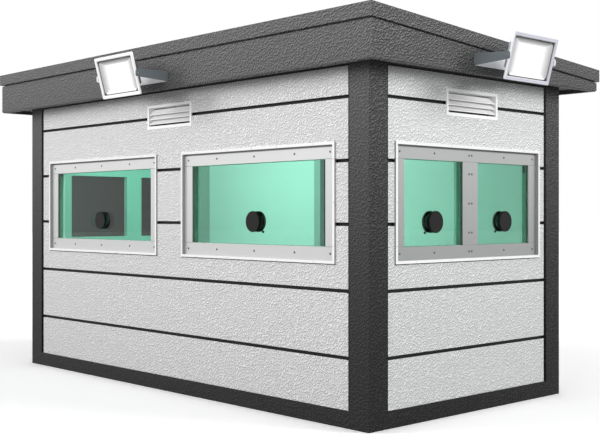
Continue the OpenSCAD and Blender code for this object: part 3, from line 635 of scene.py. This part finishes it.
LAMP_W, LAMP_H = 236 * MM, 147.5 * MM    # half sizes of the front frame
FRAME_FRONT, FRAME_BACK = -7 * MM, 7 * MM
OPENING_W, OPENING_H = 212 * MM, 123.5 * MM              # half sizes of the opening round the glass
MOUTH_W, MOUTH_H, MOUTH_R = 207 * MM, 118.5 * MM, 32 * MM    # half sizes and corner of the reflector's mouth
PANEL_W, PANEL_H = 128 * MM, 82.5 * MM   # half sizes of the lit panel
BACK_W, BACK_H, BACK_Y = 136 * MM, 81 * MM, 65 * MM      # half sizes of the body's back, and its depth
LEDGE, PANEL_Y = 3 * MM, 15 * MM         # depths of the glass's seat and of the panel
SKIN, GASKET_T = 2 * MM, 0.9 * MM        # thickness of the reflector and of the gasket
LAMP_TILT = math.radians(15.4)
FIN_T, FIN_H, FIN_PITCH, FINS = 5 * MM, 30 * MM, 26 * MM, 11
FIN_SINK = 1 * MM                        # reach of a fin into the body


def stations(rows):
    """Rings of a rounded rectangle, one for each row of depth, half width, half height and corner radius."""
    rings = np.stack([round_rectangle(w, h, r) for _, w, h, r in rows])
    depths = np.array([row[0] for row in rows])
    return np.stack([rings[..., 0], np.broadcast_to(depths[:, None], rings.shape[:2]), rings[..., 1]], -1)


def in_lamp(points, lamp_side):
    """Points of the lamp's own frame, X along the wall and Y towards it, tilted and set on the joint."""
    x, y, z = np.moveaxis(points, -1, 0)
    back = y * math.cos(LAMP_TILT) - z * math.sin(LAMP_TILT)
    rise = y * math.sin(LAMP_TILT) + z * math.cos(LAMP_TILT)
    right, out = SIDES[lamp_side]
    pivot = np.array(JOINTS[lamp_side + "_lamp_tilt"]["pos_m"])
    return pivot + x[..., None] * right - back[..., None] * out + rise[..., None] * UP


def reflector_enamel(name, pivot, turn):
    """White enamel of the reflector, with painted shade: each slope darkens from the panel to the mouth, the
    upper one the most. A faint glow over all of it is a painted light of the lamp.

    In the lamp's own frame, how far out a point lies between panel and mouth is worked out sideways and
    upwards, and the larger share names its slope.
    """
    material, tree = finish_named(name)
    point = add(tree, "TexCoord").outputs["Object"]
    own = add(tree, "Mapping", {"Vector": point, "Location": pivot, "Rotation": (LAMP_TILT, 0, turn)},
              vector_type="TEXTURE").outputs[0]
    x, _, z = add(tree, "SeparateXYZ", {0: own}).outputs
    far_x, far_z = (add(tree, "Math", {0: along}, operation="ABSOLUTE").outputs[0] for along in (x, z))
    sideways = add(tree, "MapRange", {0: far_x, 1: PANEL_W, 2: MOUTH_W}).outputs[0]
    upwards = add(tree, "MapRange", {0: far_z, 1: PANEL_H, 2: MOUTH_H}).outputs[0]
    level = add(tree, "Math", {0: upwards, 1: sideways}, operation="GREATER_THAN").outputs[0]
    above = add(tree, "Math", {0: z, 1: 0.0}, operation="GREATER_THAN").outputs[0]
    share = add(tree, "Math", {0: sideways, 1: upwards}, operation="MAXIMUM").outputs[0]
    out = add(tree, "Math", {0: share, 1: 0.6}, operation="POWER").outputs[0]
    # Painted shade: the upper slope darkest, the sides grey, the lower one pale
    lower, upper, aside, inner = (linear(tone) for tone in ("#DCDCDC", "#1C1C1C", "#949494", "#FFFFFF"))
    ends = add(tree, "Mix", {0: above, 6: lower, 7: upper}, data_type="RGBA").outputs[2]
    edge = add(tree, "Mix", {0: level, 6: aside, 7: ends}, data_type="RGBA").outputs[2]
    colour = add(tree, "Mix", {0: out, 6: inner, 7: edge}, data_type="RGBA").outputs[2]
    # Emission: a painted glow of the lamp's light on the reflector
    close(tree, add(tree, "BsdfPrincipled", {
        "Base Color": colour, "Roughness": 0.5, "Emission Color": colour, "Emission Strength": 0.2,
    }).outputs[0])
    return material


# Profiles of a lamp, row by row: depth, half width, half height and corner radius
rim = [(depth, LAMP_W - inset, LAMP_H - inset, radius) for depth, inset, radius in (
    (FRAME_BACK, 2 * MM, 8 * MM), (FRAME_BACK - 2 * MM, 0, 10 * MM), (FRAME_FRONT + 3 * MM, 0, 10 * MM),
    (FRAME_FRONT, 3 * MM, 7 * MM), (FRAME_FRONT, 8 * MM, 5 * MM), (FRAME_FRONT + 1.5 * MM, 9 * MM, 5 * MM),
    (FRAME_FRONT + 1.5 * MM, 12 * MM, 5 * MM), (FRAME_FRONT, 13 * MM, 5 * MM))]
rim += [(FRAME_FRONT, OPENING_W + 5 * MM, OPENING_H + 5 * MM, 4 * MM),
        (FRAME_FRONT + 5 * MM, OPENING_W, OPENING_H, 3 * MM), (LEDGE, OPENING_W, OPENING_H, 3 * MM),
        (LEDGE, MOUTH_W, MOUTH_H, MOUTH_R), (FRAME_BACK, MOUTH_W, MOUTH_H, MOUTH_R)]
shell = [(BACK_Y, BACK_W - 2 * MM, BACK_H - 2 * MM, 4 * MM), (BACK_Y - 2 * MM, BACK_W, BACK_H, 6 * MM),
         (FRAME_BACK, OPENING_W, OPENING_H, 10 * MM),
         (FRAME_BACK, OPENING_W - 6 * MM, OPENING_H - 6 * MM, 8 * MM),
         (PANEL_Y + SKIN + 1 * MM, PANEL_W + 12 * MM, PANEL_H + 8 * MM, 6 * MM)]
gasket_out = (OPENING_W - 0.5 * MM, OPENING_H - 0.5 * MM, 3 * MM)
gasket_in = (MOUTH_W - 1 * MM, MOUTH_H - 1 * MM, MOUTH_R)
gasket = [(LEDGE - GASKET_T, *gasket_out), (LEDGE - GASKET_T, *gasket_in), (LEDGE, *gasket_in),
          (LEDGE, *gasket_out)]
tray_out, tray_in = (MOUTH_W - 0.5 * MM, MOUTH_H - 0.5 * MM, MOUTH_R), (PANEL_W, PANEL_H, 5 * MM)
tray = [(LEDGE, *tray_out), (PANEL_Y, *tray_in), (PANEL_Y + SKIN, *tray_in), (LEDGE + SKIN, *tray_out)]
panel = [(PANEL_Y + SKIN, *tray_in), (PANEL_Y - 0.2 * MM, *tray_in)]

fin_outline = round_rectangle(FIN_H / 2 + FIN_SINK, BACK_H, 8 * MM)
fin_rows = np.stack([fin_outline * 0.98, fin_outline, fin_outline, fin_outline * 0.98])
fin_x = np.array([-0.5, -0.35, 0.35, 0.5]) * FIN_T
fin_places = (np.arange(FINS) - (FINS - 1) / 2) * FIN_PITCH
fins = np.stack([
    np.broadcast_to((fin_places[:, None] + fin_x)[..., None], (FINS, *fin_rows.shape[:2])),
    np.broadcast_to(fin_rows[..., 0] + BACK_Y + FIN_H / 2 - FIN_SINK, (FINS, *fin_rows.shape[:2])),
    np.broadcast_to(fin_rows[..., 1], (FINS, *fin_rows.shape[:2])),
], -1)

# Die-cast bodies in slate grey and frames in white enamel. The two lamps are alike: the paler body of the
# lamp of the right end is painted light, and the grey on its frame, all but a 5 mm strip at its front end, is
# painted shade
SHELL_PAINT = {"front": paint("slate_die_cast_aluminium", "#5E666A", roughness=0.35),
               "right": paint("die_cast_aluminium_painted_light", "#A8B4BC", roughness=0.35)}
RIM_PAINT = {"front": paint("white_lamp_enamel", "#FDFDFF", roughness=0.3),
             "right": two_tone("white_lamp_enamel_painted_shade", "#FDFDFF", "#CCCCD6", past("Y", 5 * MM - LAMP_W),
                               roughness=0.3)}
LAMP_TURN = {"front": 0.0, "right": math.pi / 2}
for side, rim_paint in RIM_PAINT.items():
    body = side + "_lamp"
    enamel = reflector_enamel(side + "_reflector_enamel", JOINTS[body + "_tilt"]["pos_m"], LAMP_TURN[side])
    edge = lofts(body + "_rim", in_lamp(stations(rim), side)[None], rim_paint, body,
                 round_trip=True)
    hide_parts(body + "_head")
    lofts(body + "_shell", in_lamp(stations(shell), side)[None], SHELL_PAINT[side], body)
    lofts(body + "_fins", in_lamp(fins, side), SHELL_PAINT[side], body)
    lofts(body + "_gasket", in_lamp(stations(gasket), side)[None], rubber, body,
          round_trip=True)
    lofts(body + "_reflector", in_lamp(stations(tray), side)[None], enamel, body,
          round_trip=True)
    lofts(body + "_panel", in_lamp(stations(panel), side)[None], panel_white, body)

# Camera

IMAGE_W, IMAGE_H = 600, 434
FOCAL_PX, HORIZON_PX = 1041.6, 214.51
camera = bpy.data.objects.new("camera", bpy.data.cameras.new("camera"))
camera.location = (6.203, -5.492, 1.290)
camera.rotation_euler = (math.radians(90), 0, math.radians(46.88))
camera.data.lens = camera.data.sensor_width * FOCAL_PX / IMAGE_W
camera.data.shift_y = (HORIZON_PX - IMAGE_H / 2) / IMAGE_W
bpy.context.scene.collection.objects.link(camera)
bpy.context.scene.camera = camera

# Studio

def background_rays(tree):
    """1 for a ray that the camera, a gloss or a glass sends, which sees the white background."""
    path = add(tree, "LightPath").outputs
    seen = path["Is Camera Ray"]
    for kind in ("Is Glossy Ray", "Is Transmission Ray"):
        seen = add(tree, "Math", {0: seen, 1: path[kind]}, operation="MAXIMUM").outputs[0]
    return seen


DOME = 0.6                               # light of the white surroundings on the booth
world = bpy.data.worlds.new("studio")
bpy.context.scene.world = world
world.use_nodes = True
world.node_tree.nodes.clear()
strength = add(world.node_tree, "MapRange", {0: background_rays(world.node_tree), 3: DOME, 4: 1.0}).outputs[0]
add(world.node_tree, "OutputWorld", {"Surface": add(world.node_tree, "Background", {
    "Color": (1, 1, 1, 1), "Strength": strength}).outputs[0]})

FLOOR_REACH = 60.0
FLOOR_BOUNCE, FLOOR_SEEN = 0.35, 1.3      # pale floor: what it throws back, and its white to the camera
floor_finish, floor_tree = finish_named("pale_studio_floor")
floor_shade = add(floor_tree, "Mix", {0: background_rays(floor_tree), 6: (FLOOR_BOUNCE,) * 3 + (1,),
                                     7: (FLOOR_SEEN,) * 3 + (1,)}, data_type="RGBA").outputs[2]
close(floor_tree, add(floor_tree, "BsdfDiffuse", {"Color": floor_shade}).outputs[0])
corners = np.array([[-1, -1, 0], [1, -1, 0], [1, 1, 0], [-1, 1, 0]]) * FLOOR_REACH
floor_mesh = bpy.data.meshes.new("studio_floor")
floor_mesh.from_pydata(corners.tolist(), [], [[0, 1, 2, 3]])
floor_mesh.materials.append(floor_finish)
floor = bpy.data.objects.new("studio_floor", floor_mesh)
bpy.context.scene.collection.objects.link(floor)


def studio_light(name, kind, energy, at, towards, **settings):
    """A studio light that looks from one point to another."""
    data = bpy.data.lights.new(name, kind)
    data.energy = energy
    for key, value in settings.items():
        setattr(data, key, value)
    made = bpy.data.objects.new(name, data)
    aim = np.array(towards, float) - np.array(at, float)
    made.location = at
    made.rotation_euler = (math.atan2(math.hypot(aim[0], aim[1]), -aim[2]), 0,
                           math.atan2(-aim[0], aim[1]) if aim[:2].any() else 0)
    bpy.context.scene.collection.objects.link(made)


def from_bearing(bearing, height):
    """A point 10 m off on a bearing from the front, -Y, towards the right, +X, at a height angle."""
    return (10 * math.sin(bearing) * math.cos(height), -10 * math.cos(bearing) * math.cos(height),
            10 * math.sin(height))


for name, energy, bearing, height, angle in (("front_key", 1.5, -38, 15, 25), ("front_fill", 1.3, 5, 2, 30),
                                             ("right_key", 1.8, 122, 16, 25), ("right_fill", 1.0, 85, 2, 30)):
    studio_light(name, "SUN", energy, from_bearing(math.radians(bearing), math.radians(height)), (0, 0, 0),
                 angle=math.radians(angle))
# Lamp inside, over the front windows, that lights the back wall
studio_light("cabin", "AREA", 33, (-0.45, -0.8, 2.1), (-0.45, 0.9, 1.2), shape="RECTANGLE", size=1.8,
             size_y=0.1)

bpy.context.scene.view_settings.view_transform = "Standard"
